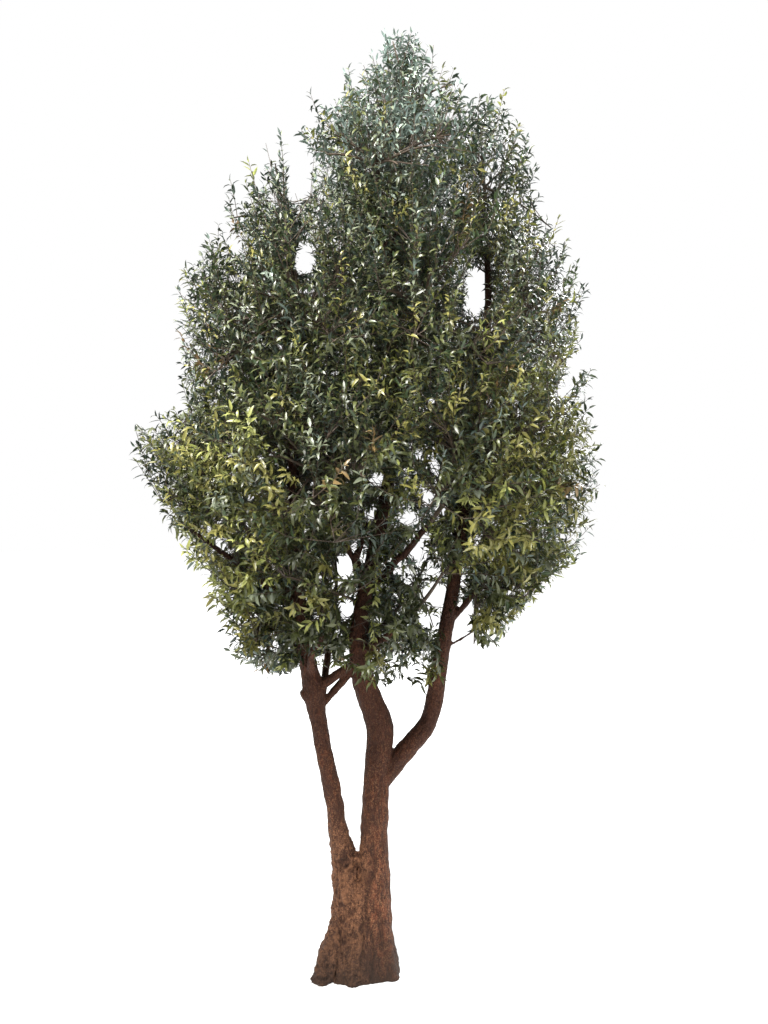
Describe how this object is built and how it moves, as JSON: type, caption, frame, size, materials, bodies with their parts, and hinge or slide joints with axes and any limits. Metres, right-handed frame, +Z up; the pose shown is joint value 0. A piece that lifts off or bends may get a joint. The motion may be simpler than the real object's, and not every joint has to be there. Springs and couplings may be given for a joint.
{
  "type": "artificial olive tree",
  "caption": "Tall display olive tree: a flared trunk that forks low into slender stems and carries a dense egg-shaped crown of narrow leaves.",
  "frame": {"origin": "middle of the flat cut under the trunk, at ground level", "axes": "+Z up along the tree's height, +X to the tree's right-hand side seen from its front, the front looks along -Y"},
  "size_m": [1.5517, 1.2937, 3.1784],
  "materials": {
    "bark": "matt, finely ridged brown bark",
    "foliage": "satin leaves, dark green above and olive below"
  },
  "bodies": {
    "root": {"bough_low_back_left": "bark", "bough_low_back_right": "bark", "bough_low_front_left": "bark", "bough_low_front_right": "bark", "bough_low_left": "bark", "bough_middle_back_left": "bark", "bough_middle_back_right": "bark", "bough_middle_front_left": "bark", "bough_middle_front_right": "bark", "bough_upper_back": "bark", "bough_upper_front": "bark", "bough_wide_back_left": "bark", "bough_wide_back_right": "bark", "bough_wide_front_left": "bark", "bough_wide_front_right": "bark", "bough_wide_left": "bark", "centre_stem": "bark", "foliage_low_back_left": "foliage", "foliage_low_back_right": "foliage", "foliage_low_front_left": "foliage", "foliage_low_front_right": "foliage", "foliage_low_left": "foliage", "foliage_low_right": "foliage", "foliage_middle_back_left": "foliage", "foliage_middle_back_right": "foliage", "foliage_middle_front_left": "foliage", "foliage_middle_front_right": "foliage", "foliage_middle_left": "foliage", "foliage_middle_right": "foliage", "foliage_top_centre": "foliage", "foliage_upper_back": "foliage", "foliage_upper_front": "foliage", "foliage_upper_left": "foliage", "foliage_upper_right": "foliage", "foliage_wide_back_left": "foliage", "foliage_wide_back_right": "foliage", "foliage_wide_front_left": "foliage", "foliage_wide_front_right": "foliage", "foliage_wide_left": "foliage", "foliage_wide_right": "foliage", "left_stem": "bark", "right_stem": "bark", "trunk": "bark"}
  },
  "joints": []
}
